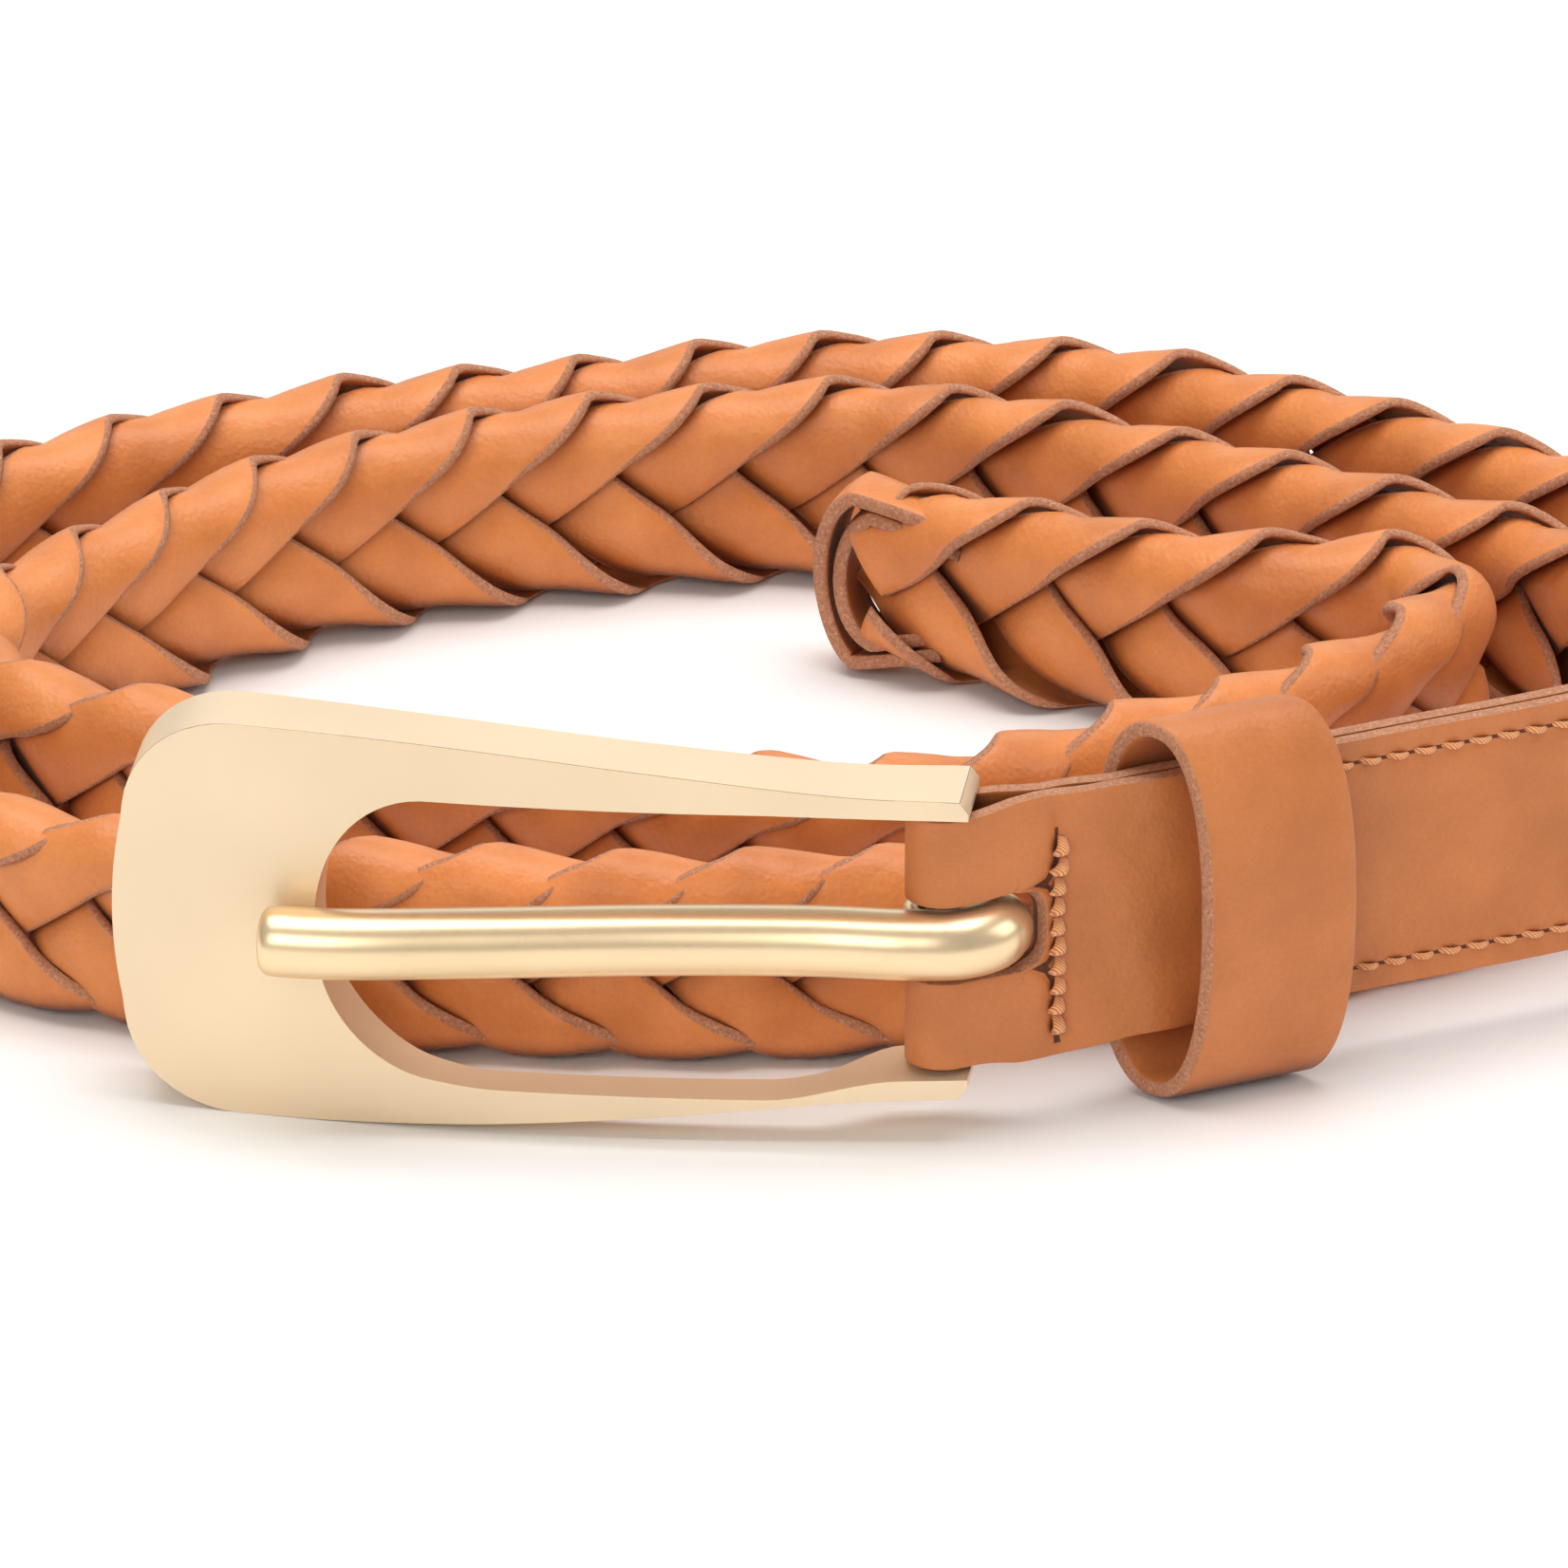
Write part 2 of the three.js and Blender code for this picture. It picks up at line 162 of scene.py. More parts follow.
def smoothstep(x, low, high):
    t = np.clip((np.asarray(x, float) - low) / (high - low), 0, 1)
    return t * t * (3 - 2 * t)


def centre_z(s):
    """The buckle holds the tab up; further on the braid lies on the ground."""
    t = smoothstep(s, 62, 150)
    return STRAP_Z * (1 - t) + BRAID_WIDTH / 2 * t


def along(s):
    """Unit vector along the belt at s, in plan."""
    return unit(np.stack([np.interp(s, ROUTE_S, ROUTE_T[:, 0]), np.interp(s, ROUTE_S, ROUTE_T[:, 1])], -1))


def inner_side(s):
    """Unit vectors across the belt at s, towards the middle of the roll."""
    t = along(s)
    return np.stack([-t[..., 1], t[..., 0], 0 * np.asarray(s, float)], -1)


def beside(s, n, z):
    """Points at distance s along the belt, n to its inner side, at height z."""
    s = np.asarray(s, float)
    t = along(s)
    over = s - np.clip(s, 0, ROUTE_LENGTH)
    x = np.interp(s, ROUTE_S, ROUTE_X) - t[..., 1] * n + t[..., 0] * over
    y = np.interp(s, ROUTE_S, ROUTE_Y) + t[..., 0] * n + t[..., 1] * over
    return np.stack([x, y, z + 0 * x], -1)


# ------------------------------------------------------------------ materials
def new_material(name):
    mat = bpy.data.materials.new(name)
    mat.use_nodes = True
    return mat, mat.node_tree.nodes, mat.node_tree.links, mat.node_tree.nodes["Principled BSDF"]


def mapping(nodes, links, scale):
    coord = nodes.new("ShaderNodeTexCoord")
    node = nodes.new("ShaderNodeMapping")
    node.inputs["Scale"].default_value = (scale, scale, scale)
    links.new(coord.outputs["Object"], node.inputs["Vector"])
    return node.outputs["Vector"]


def noise(nodes, links, vector, scale, detail=4.0, roughness=0.55):
    node = nodes.new("ShaderNodeTexNoise")
    node.inputs["Scale"].default_value = scale
    node.inputs["Detail"].default_value = detail
    node.inputs["Roughness"].default_value = roughness
    links.new(vector, node.inputs["Vector"])
    return node.outputs["Fac"]


def ramp(nodes, links, value, stops):
    node = nodes.new("ShaderNodeValToRGB")
    elements = node.color_ramp.elements
    while len(elements) < len(stops):
        elements.new(0.5)
    for element, (position, colour) in zip(elements, stops):
        element.position = position
        element.color = (*colour, 1)
    links.new(value, node.inputs["Fac"])
    return node.outputs["Color"]


def grey(value):
    return (value, value, value)


def bump(nodes, links, height, strength, distance, normal=None):
    node = nodes.new("ShaderNodeBump")
    node.inputs["Strength"].default_value = strength
    node.inputs["Distance"].default_value = distance
    links.new(height, node.inputs["Height"])
    if normal is not None:
        links.new(normal, node.inputs["Normal"])
    return node.outputs["Normal"]


def leather(name, dark, mid, light, roughness=0.44, grain=0.35):
    """Grained leather: pebbles about 0.4 mm across, soft mottling, a satin sheen and painted shade that
    darkens its crevices and hollows.
    """
    mat, nodes, links, shader = new_material(name)
    vector = mapping(nodes, links, 1000)
    mottle = noise(nodes, links, vector, 0.11, 3, 0.5)
    colour = ramp(nodes, links, mottle, [(0.3, dark), (0.5, mid), (0.72, light)])
    fine = noise(nodes, links, vector, 2.6, 3, 0.6)
    cells = nodes.new("ShaderNodeTexVoronoi")
    cells.inputs["Scale"].default_value = 2.1
    cells.feature = "SMOOTH_F1"
    cells.inputs["Smoothness"].default_value = 0.5
    links.new(vector, cells.inputs["Vector"])
    tint = nodes.new("ShaderNodeMix")
    tint.data_type = "RGBA"
    tint.blend_type = "MULTIPLY"
    tint.inputs["Factor"].default_value = 0.3
    links.new(colour, tint.inputs["A"])
    links.new(ramp(nodes, links, fine, [(0.3, grey(0.72)), (0.7, grey(1.0))]), tint.inputs["B"])
    # Painted shade: an ambient occlusion look-up darkens the base colour in crevices and between strands,
    # where shade falls.
    painted_crevice_shade = nodes.new("ShaderNodeAmbientOcclusion")
    painted_crevice_shade.samples = 8
    painted_crevice_shade.inputs["Distance"].default_value = 0.0045
    shade = nodes.new("ShaderNodeMix")
    shade.data_type = "RGBA"
    shade.blend_type = "MULTIPLY"
    shade.inputs["Factor"].default_value = 1.0
    links.new(tint.outputs["Result"], shade.inputs["A"])
    stops = [(0.22, (0.30, 0.22, 0.17)), (0.52, (0.80, 0.74, 0.70)), (0.78, grey(1.0))]
    links.new(ramp(nodes, links, painted_crevice_shade.outputs["AO"], stops), shade.inputs["B"])
    links.new(shade.outputs["Result"], shader.inputs["Base Color"])
    rough = nodes.new("ShaderNodeMapRange")
    rough.inputs["To Min"].default_value = roughness - 0.08
    rough.inputs["To Max"].default_value = roughness + 0.12
    links.new(fine, rough.inputs["Value"])
    links.new(rough.outputs["Result"], shader.inputs["Roughness"])
    pebbles = bump(nodes, links, cells.outputs["Distance"], grain, 0.00012)
    creases = noise(nodes, links, vector, 0.45, 5, 0.65)
    normal = bump(nodes, links, creases, 0.25, 0.0006, pebbles)
    links.new(normal, shader.inputs["Normal"])
    shader.inputs["Specular IOR Level"].default_value = 0.45
    shader.inputs["Sheen Weight"].default_value = 0.08
    return mat


def raw_edge(name, base, pale, speck=(0.93, 0.62, 0.46)):
    """Cut edge: paler fibres with fine bright specks."""
    mat, nodes, links, shader = new_material(name)
    vector = mapping(nodes, links, 1000)
    fibre = noise(nodes, links, vector, 3.4, 5, 0.75)
    colour = ramp(nodes, links, fibre, [(0.34, base), (0.56, pale), (0.72, speck)])
    links.new(colour, shader.inputs["Base Color"])
    shader.inputs["Roughness"].default_value = 0.8
    normal = bump(nodes, links, fibre, 0.9, 0.0004)
    links.new(normal, shader.inputs["Normal"])
    return mat


def thread_material():
    mat, nodes, links, shader = new_material("stitch_thread")
    vector = mapping(nodes, links, 1000)
    twist = nodes.new("ShaderNodeTexWave")
    twist.inputs["Scale"].default_value = 1.6
    twist.inputs["Distortion"].default_value = 1.0
    twist.bands_direction = "DIAGONAL"
    links.new(vector, twist.inputs["Vector"])
    colour = ramp(nodes, links, twist.outputs["Fac"],
                  [(0.0, (0.55, 0.17, 0.045)), (0.6, (0.88, 0.36, 0.12)), (1.0, (0.97, 0.52, 0.24))])
    links.new(colour, shader.inputs["Base Color"])
    shader.inputs["Roughness"].default_value = 0.55
    shader.inputs["Sheen Weight"].default_value = 0.3
    links.new(bump(nodes, links, twist.outputs["Fac"], 0.6, 0.0001), shader.inputs["Normal"])
    return mat


def gold(name, colour, roughness, streak, metallic=0.85):
    """Plated metal with a very fine brushed or polished variation."""
    mat, nodes, links, shader = new_material(name)
    vector = mapping(nodes, links, 1000)
    fine = noise(nodes, links, vector, 1.5, 4, 0.6)
    cloud = noise(nodes, links, vector, 0.05, 2, 0.5)
    pale = tuple(min(1.0, c * 1.04) for c in colour)
    deep = tuple(c * 0.95 for c in colour)
    links.new(ramp(nodes, links, cloud, [(0.3, deep), (0.7, pale)]), shader.inputs["Base Color"])
    rough = nodes.new("ShaderNodeMapRange")
    rough.inputs["To Min"].default_value = roughness * 0.85
    rough.inputs["To Max"].default_value = roughness * 1.2
    links.new(fine, rough.inputs["Value"])
    links.new(rough.outputs["Result"], shader.inputs["Roughness"])
    links.new(bump(nodes, links, fine, streak, 0.00004), shader.inputs["Normal"])
    shader.inputs["Metallic"].default_value = metallic
    return mat


TAN = leather("tab_leather", (0.52, 0.160, 0.038), (0.59, 0.186, 0.047), (0.65, 0.212, 0.057))
BRAID = leather("braid_leather", (0.63, 0.196, 0.047), (0.75, 0.246, 0.063), (0.85, 0.30, 0.086), 0.4)
EDGE = raw_edge("cut_edge", (0.50, 0.19, 0.09), (0.72, 0.33, 0.18))
THREAD = thread_material()
# Painted shade: a near-black cut-edge colour put on the tab where the needle holes and the tack seam's
# groove would lie in shade.
HOLE_SHADE = raw_edge("painted_needle_hole_shade", (0.11, 0.03, 0.012), (0.17, 0.05, 0.02), (0.2, 0.06, 0.03))
PLATE = gold("satin_pale_gold", (0.87, 0.69, 0.47), 0.40, 0.12, 0.5)
# Painted reflection: a darker gold that stands in for the dark reflection line along the plate's rounded
# upper edges.
PAINTED_REFLECTION_EDGE = gold("painted_dark_reflection_gold", (0.30, 0.20, 0.11), 0.3, 0.05, 0.8)
BRIGHT = gold("polished_gold", (0.90, 0.69, 0.43), 0.29, 0.04)
WIRE = gold("bar_steel", (0.60, 0.58, 0.54), 0.3, 0.3)


# ------------------------------------------------------------------ mesh helpers
def make_object(name, vertices, faces, materials, face_materials=None):
    mesh = bpy.data.meshes.new(name)
    mesh.from_pydata([tuple(v * MM) for v in np.asarray(vertices, float)], [], faces)
    for mat in materials:
        mesh.materials.append(mat)
    if face_materials is not None:
        mesh.polygons.foreach_set("material_index", face_materials)
    mesh.polygons.foreach_set("use_smooth", [True] * len(faces))
    mesh.update()
    obj = bpy.data.objects.new(name, mesh)
    bpy.context.scene.collection.objects.link(obj)
    return obj


def apply_modifiers(obj):
    graph = bpy.context.evaluated_depsgraph_get()
    mesh = bpy.data.meshes.new_from_object(obj.evaluated_get(graph))
    obj.modifiers.clear()
    obj.data = mesh


def bore_for_bar(obj):
    """Drills the clearance hole that the hinge bar runs in, closed at the arms' outer faces."""
    cutter = bpy.data.objects.new("bore", bpy.data.meshes.new("bore"))
    bm = bmesh.new()
    radius = (BAR_RADIUS + BAR_CLEARANCE) * MM
    bmesh.ops.create_cone(
        bm, segments=48, radius1=radius, radius2=radius, depth=BORE_LENGTH * MM, cap_ends=True
    )
    bmesh.ops.translate(bm, verts=bm.verts, vec=(BAR[0] * MM, BAR[1] * MM, BUCKLE_Z * MM))
    bm.to_mesh(cutter.data)
    bm.free()
    bpy.context.scene.collection.objects.link(cutter)
    cut = obj.modifiers.new("bore", "BOOLEAN")
    cut.operation = "DIFFERENCE"
    cut.solver = "EXACT"
    cut.object = cutter
    apply_modifiers(obj)
    bpy.data.objects.remove(cutter)


def round_edges(obj, width, segments, angle):
    rounding = obj.modifiers.new("rounding", "BEVEL")
    rounding.width = width * MM
    rounding.segments = segments
    rounding.limit_method = "ANGLE"
    rounding.angle_limit = math.radians(angle)
    return rounding


def face_outwards(obj):
    bm = bmesh.new()
    bm.from_mesh(obj.data)
    bmesh.ops.recalc_face_normals(bm, faces=bm.faces)
    bm.to_mesh(obj.data)
    bm.free()


def ring_faces(rings, sides, closed=False):
    faces = []
    for i in range(rings if closed else rings - 1):
        k = (i + 1) % rings
        for j in range(sides):
            m = (j + 1) % sides
            faces.append((i * sides + j, i * sides + m, k * sides + m, k * sides + j))
    return faces


# Section of a flat strand, walked round once: across and through, and whether it is cut edge.
STRAND_SECTION = [
    (-0.93, 1.0), (-0.6, 1.0), (-0.2, 1.0), (0.2, 1.0), (0.6, 1.0), (0.93, 1.0),
    (1.0, 0.62), (1.0, -0.62),
    (0.93, -1.0), (0.6, -1.0), (0.2, -1.0), (-0.2, -1.0), (-0.6, -1.0), (-0.93, -1.0),
    (-1.0, -0.62), (-1.0, 0.62),
]
STRAND_CUT = [j in (5, 6, 7, 13, 14, 15) for j in range(len(STRAND_SECTION))]


def flat_strand(centre, normal, half_width, half_thick, crown):
    """A flat strand along centre, its broad side facing normal, cupped by crown."""
    tangent = unit(np.gradient(centre, axis=0))
    across = unit(np.cross(tangent, normal))
    face = np.cross(across, tangent)
    rings = []
    for x, y in STRAND_SECTION:
        cup = np.broadcast_to(crown * (0.5 - x * x), len(centre))
        rings.append(
            centre + across * (half_width * x)[:, None] + face * (half_thick * y + cup)[:, None]
        )
    vertices = np.stack(rings, 1)
    count, sides = vertices.shape[:2]
    faces = ring_faces(count, sides)
    marks = [1 if STRAND_CUT[j] else 0 for _ in range(count - 1) for j in range(sides)]
    faces.append(tuple(range(sides)))
    faces.append(tuple((count - 1) * sides + j for j in reversed(range(sides))))
    marks += [1, 1]
    return vertices.reshape(-1, 3), faces, marks


# ------------------------------------------------------------------ braid
STRANDS = 5
BRAID_PERIOD = 54.0
ROLL_LAG = 0.17
BRAID_START = 92.5
TIP_REACH = 4.2
STRAND_HALF_WIDTH = 3.6
STRAND_HALF_THICK = 0.5
STRAND_CROWN = 1.0
EDGE_REACH = 7.9
LAYER_DEPTH = 2.0
FLOOR_GAP = 0.12
FLOOR_EASE = 0.8


def squared(x, hardness):
    return np.tanh(hardness * x) / math.tanh(hardness)


def wander(s, seed, scale):
    """Smooth seeded variation between about -1 and 1."""
    rng = np.random.default_rng(seed)
    total = np.zeros_like(s)
    for wave in range(4):
        total += np.sin(s / scale * (1 + 0.7 * wave) + rng.uniform(0, 2 * math.pi)) / (1 + wave)
    return total / 2.1


def make_strand(index):
    """One strand: it runs from edge to edge of the braid, passes over and under, and rolls over."""
    s = np.arange(BRAID_START, ROUTE_LENGTH - TIP_REACH, 0.75)
    turn = 2 * math.pi * (s / BRAID_PERIOD + index / STRANDS)
    turn = turn + 0.08 * wander(s, 11 + index, 13.0)
    settle = smoothstep(s, BRAID_START, TAB_LENGTH + 8)
    gather = 0.26 + 0.74 * smoothstep(s, TAB_LENGTH + 0.3, TAB_LENGTH + 6)
    rise = 0.7 * np.cos(turn) + 0.3 * (2 / math.pi) * np.arcsin(0.999 * np.cos(turn))
    height = EDGE_REACH * rise * (1 + 0.04 * wander(s, 31 + index, 17.0))
    depth = LAYER_DEPTH * squared(np.sin(2 * turn), 1.9) * (0.1 + 0.9 * settle)
    depth = depth + 0.1 * wander(s, 51 + index, 9.0) * settle
    roll = math.pi / 2 * (1 + squared(np.sin(turn - ROLL_LAG), 1.3))
    roll = roll + 0.09 * wander(s, 91 + index, 8.0) * settle
    height = height * (1 - 0.22 * smoothstep(s, ROUTE_LENGTH - 13, ROUTE_LENGTH - 6))
    z = centre_z(s) + height
    centre = beside(s, depth, z)
    normal = inner_side(s) * (-np.cos(roll))[:, None]
    normal[:, 2] += np.sin(roll)
    shoulder = np.arcsin(np.clip(np.abs(np.sin(turn)), 0, 1))
    pinch = 0.13 * np.exp(-((shoulder - 0.5) / 0.3) ** 2)
    width = STRAND_HALF_WIDTH * gather * (1 - pinch) * (1 + 0.06 * wander(s, 71 + index, 11.0))
    crown = STRAND_CROWN * squared(np.cos(turn), 1.6) * (0.1 + 0.9 * settle)
    vertices, faces, marks = flat_strand(centre, normal, width, STRAND_HALF_THICK, crown)
    eased = FLOOR_GAP + FLOOR_EASE
    low = vertices[:, 2] < eased
    vertices[low, 2] = FLOOR_GAP + FLOOR_EASE * np.exp((vertices[low, 2] - eased) / FLOOR_EASE)
    return make_object(f"braid_strand_{index + 1}", vertices, faces, [BRAID, EDGE], marks)


SPANS = [f"braid_span_{k:02d}" for k in range(1, 21)]
for number in range(STRANDS):
    strand = make_strand(number)
    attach(strand, "strap")
    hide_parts("braid_root", *SPANS)


def make_tip_loop(name, inset, width, phase):
    """A strand seen on edge that bends over the end of the braid from its top to its foot."""
    half = BRAID_WIDTH / 2 - 0.7 - inset
    reach = 6.0
    turn = np.linspace(0, 1, 90)
    angle = (0.5 - turn) * math.pi
    lead = np.clip((0.12 - turn) / 0.12, 0, 1) + np.clip((turn - 0.88) / 0.12, 0, 1)
    s = ROUTE_LENGTH - reach - 0.4 - inset * 0.8 + reach * np.cos(angle) ** 0.8 - 5.5 * lead
    z = BRAID_WIDTH / 2 + half * np.sin(angle) - 2.6 * lead * np.sign(np.sin(angle))
    n = 0.5 * np.sin(2.2 * math.pi * turn + phase)
    centre = beside(s, n, z)
    outward = np.cross(unit(np.gradient(centre, axis=0)), inner_side(s))
    half_width = width * (1 - 0.25 * lead)
    vertices, faces, marks = flat_strand(centre, outward, half_width, 0.62, 0.25)
    return make_object(name, vertices, faces, [BRAID, EDGE], marks)


for name, inset, width, phase in (("tip_outer_loop", 0.0, 2.7, 0.4), ("tip_inner_loop", 2.1, 2.3, 2.0)):
    loop = make_tip_loop(name, inset, width, phase)
    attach(loop, "strap")
    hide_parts("tip_binding")


# ------------------------------------------------------------------ tab
SLOT_END = 8.0
SLOT_HALF = 3.55
SLOT_CORNER = 2.4
STITCH_PITCH = 2.55
TACK_PITCH = 1.78
TACK_HALF = 8.9
TACK_MIDDLE = -1.1
TACK_AT = 9.2
EDGE_INSET = 2.1
SEAM_START = 34.0
NOMINAL_HALF = STRAP_WIDTH / 2


def ply_middle(s):
    """From the belt's middle to a ply's: the plies part where the braid enters between them."""
    together = (PLY_GAP + PLY) / 2
    apart = (ROOT_THICK + PLY) / 2 + 0.3
    t = smoothstep(s, 68, 80)
    return together * (1 - t) + apart * t


FOLD_RADIUS = BAR_RADIUS + BAR_CLEARANCE + PLY / 2


def tab_half_height(s):
    """Narrow between the arms, a little flared just past them, then the strap's own width."""
    flare = 0.35 * np.exp(-((s - 8.0) / 5.0) ** 2)
    t = smoothstep(s, 1.0, 5.5)
    return TAB_HALF_NARROW * (1 - t) + (NOMINAL_HALF + flare) * t


def tab_line():
    """Middle of the strip from the front end, round the bar and back: s, point and outward side."""
    out = []
    front = np.concatenate([np.arange(TAB_LENGTH, 12, -0.6), np.arange(12, 5.0, -0.4)])
    for s in front:
        middle, p = beside(s, 0, 0)[:2], beside(s, -ply_middle(s), 0)[:2]
        out.append((s, p, unit(p - middle)))
    bends = []
    for a in np.linspace(0, math.pi, 30):
        angle = STRAP_YAW - math.pi / 2 - a
        side = np.array([math.cos(angle), math.sin(angle)])
        bends.append((0.0, BAR + side * FOLD_RADIUS, side))
    first = out[-1][1]
    start = bends[0][1]
    for t in np.linspace(0, 1, 10, endpoint=False)[1:]:
        ease = t * t * (3 - 2 * t)
        p = first * (1 - t) + start * t
        across = (start - first) @ STRAP_ACROSS
        p = p + STRAP_ACROSS * across * (ease - t)
        out.append((5.0 * (1 - t), p, bends[0][2]))
    out += bends
    end = bends[-1][1]
    back_s = np.concatenate([np.arange(9.0, 12, 0.5), np.arange(12, TAB_LENGTH + 0.1, 0.6)])
    back = [(s, beside(s, ply_middle(s), 0)[:2]) for s in back_s]
    for t in np.linspace(0, 1, 16, endpoint=False)[1:]:
        ease = t * t * (3 - 2 * t)
        goal = back[0][1]
        across = (goal - end) @ STRAP_ACROSS
        p = end * (1 - t) + goal * t + STRAP_ACROSS * across * (ease - t)
        out.append((9.0 * t, p, STRAP_ACROSS))
    for s, p in back:
        out.append((s, p, unit(p - beside(s, 0, 0)[:2])))
    return out


def slot_reach(v):
    """How far along the tab the prong's slot reaches at height v: its end is rounded."""
    over = max(0.0, abs(v) - (SLOT_HALF - SLOT_CORNER))
    beyond = max(0.0, over - SLOT_CORNER)
    round_end = math.sqrt(max(0.0, SLOT_CORNER ** 2 - min(over, SLOT_CORNER) ** 2))
    return SLOT_END - (SLOT_CORNER - round_end) * math.exp(-beyond / 0.8)


def tab_rows():
    """Heights of the mesh lines along the tab, from -1 to 1, closer at the slot and the seams."""
    slot = SLOT_HALF / NOMINAL_HALF
    seam_row = 1 - EDGE_INSET / NOMINAL_HALF
    upper = np.concatenate([
        np.linspace(slot, seam_row - 0.022, 9), [seam_row + 0.022, 0.92, 0.965, 1.0],
    ])
    return np.concatenate([-upper[::-1], np.linspace(-slot, slot, 13)[1:-1], upper])


def in_painted_hole_shade(s, z, half):
    """Whether a place on the tab takes the painted shade of a needle hole: spots along the edge seams and
    a line along the tack seam; no hole is cut there.
    """
    if s > SEAM_START - 0.5 and abs(abs(z) - (half - EDGE_INSET)) < 0.3:
        step = (s - SEAM_START) / STITCH_PITCH
        return abs(step - round(step)) * STITCH_PITCH < 0.62
    return abs(s - TACK_AT) < 0.4 and abs(z - TACK_MIDDLE) < TACK_HALF + 0.5


def make_tab():
    line = tab_line()
    rows = tab_rows()
    width = len(rows)
    stations = np.array([entry[0] for entry in line])
    fold_middle = int(np.median(np.nonzero(stations == 0.0)))
    front_edge = int(np.argmin(np.abs(stations[:fold_middle] - SLOT_END)))
    back_edge = fold_middle + int(np.argmin(np.abs(stations[fold_middle:] - SLOT_END)))
    vertices = []
    for i, (s, p, side) in enumerate(line):
        half = tab_half_height(s)
        edge = line[front_edge if i < fold_middle else back_edge][0]
        for v in rows:
            z = v * half
            press = 0.42 * math.exp(-((s - TACK_AT) / 0.75) ** 2) * (abs(z) < 10.4)
            if s > SEAM_START - 2:
                press += 0.25 * math.exp(-((abs(z) - (half - EDGE_INSET)) / 0.55) ** 2)
            wave = 0.12 * math.sin(s * 0.9 + z * 0.35) * math.exp(-((s - 12) / 9.0) ** 2)
            slide = (slot_reach(v * NOMINAL_HALF) - edge) * math.exp(-((s - edge) / 1.8) ** 2)
            q = p - side * (press - wave) + STRAP_ALONG * slide * (s > 0)
            vertices.append((q[0], q[1], centre_z(s) + z))
    faces, marks = [], []
    for i in range(len(line) - 1):
        s = (line[i][0] + line[i + 1][0]) / 2
        for j in range(width - 1):
            v = (rows[j] + rows[j + 1]) / 2 * NOMINAL_HALF
            if abs(v) < SLOT_HALF and front_edge <= i < back_edge:
                continue
            a = i * width + j
            faces.append((a, a + 1, a + width + 1, a + width))
            # Faces at a needle hole or along the tack seam take the painted hole shade.
            marks.append(2 if in_painted_hole_shade(s, v, NOMINAL_HALF) else 0)
    obj = make_object("tab_leather_strip", vertices, faces, [TAN, EDGE, HOLE_SHADE], marks)
    solid = obj.modifiers.new("thickness", "SOLIDIFY")
    solid.thickness = PLY * MM
    solid.offset = 0
    solid.material_offset_rim = 1
    round_edges(obj, 0.22, 2, 60)
    apply_modifiers(obj)
    face_outwards(obj)
    return obj


tab = make_tab()
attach(tab, "strap")
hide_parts("tab_strip")


# ------------------------------------------------------------------ stitching
def add_stitch(parts, start, end, out, radius, lift):
    """One stitch: a plump thread that rises out of one hole and dives into the next."""
    start, end, out = (np.asarray(v, float) for v in (start, end, out))
    side = np.cross(unit(end - start), out)
    steps, sides = 9, 8
    base = len(parts["vertices"])
    for i in range(steps):
        t = i / (steps - 1)
        arch = math.sin(math.pi * t)
        centre = start + (end - start) * t + out * (lift * arch - 0.35 * (1 - arch))
        r = radius * (0.72 + 0.28 * arch)
        for j in range(sides):
            a = 2 * math.pi * j / sides
            parts["vertices"].append(centre + side * r * math.cos(a) + out * r * math.sin(a))
    for i in range(steps - 1):
        for j in range(sides):
            m = (j + 1) % sides
            a = base + i * sides
            parts["faces"].append((a + j, a + m, a + sides + m, a + sides + j))
    parts["faces"].append(tuple(base + j for j in reversed(range(sides))))
    parts["faces"].append(tuple(base + (steps - 1) * sides + j for j in range(sides)))


def seam(name, holes, outs, radius, lift, replaces, slant, seed):
    """A row of stitches through the given holes, each a little aslant."""
    rng = np.random.default_rng(seed)
    parts = {"vertices": [], "faces": []}
    for i in range(len(holes) - 1):
        gap = (holes[i + 1] - holes[i]) * 0.07
        direction = unit(holes[i + 1] - holes[i])
        sideways = np.cross(direction, outs[i]) * (slant + 0.05 * rng.standard_normal())
        start, end = holes[i] + gap - sideways, holes[i + 1] - gap + sideways
        add_stitch(parts, start, end, outs[i], radius, lift)
    obj = make_object(name, parts["vertices"], parts["faces"], [THREAD])
    face_outwards(obj)
    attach(obj, "strap")
    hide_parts(replaces)


def edge_seam(face, edge, name):
    holes, outs = [], []
    for s in np.arange(SEAM_START, TAB_LENGTH - 2, STITCH_PITCH):
        n = face * (ply_middle(s) + PLY / 2 - 0.1)
        holes.append(beside(s, n, centre_z(s) + edge * (NOMINAL_HALF - EDGE_INSET)))
        outs.append(inner_side(s) * face)
    seam(name, holes, outs, 0.3, 0.3, name, 0.16, 7)


def tack_seam(face, name):
    holes, outs = [], []
    rng = np.random.default_rng(3)
    for z in np.arange(-TACK_HALF, TACK_HALF + 0.1, TACK_PITCH):
        n = face * (ply_middle(TACK_AT) + PLY / 2 - 0.15)
        s = TACK_AT + 0.12 * rng.standard_normal()
        holes.append(beside(s, n, STRAP_Z + TACK_MIDDLE + z))
        outs.append(inner_side(TACK_AT) * face)
    seam(name, holes, outs, 0.56, 0.5, name, 0.36, 5)


for face, side in ((-1, "front"), (1, "back")):
    tack_seam(face, f"fold_stitching_{side}")
    edge_seam(face, 1, f"upper_edge_stitching_{side}")
    edge_seam(face, -1, f"lower_edge_stitching_{side}")


# ------------------------------------------------------------------ keeper
KEEPER_START = 17.7
KEEPER_WIDTH = 13.3
KEEPER_HEIGHT = 33.6
KEEPER_DEPTH = 12.4
KEEPER_THICK = 1.4
KEEPER_N = -2.8
KEEPER_Z = 17.25
KEEPER_SHEAR = 0.43


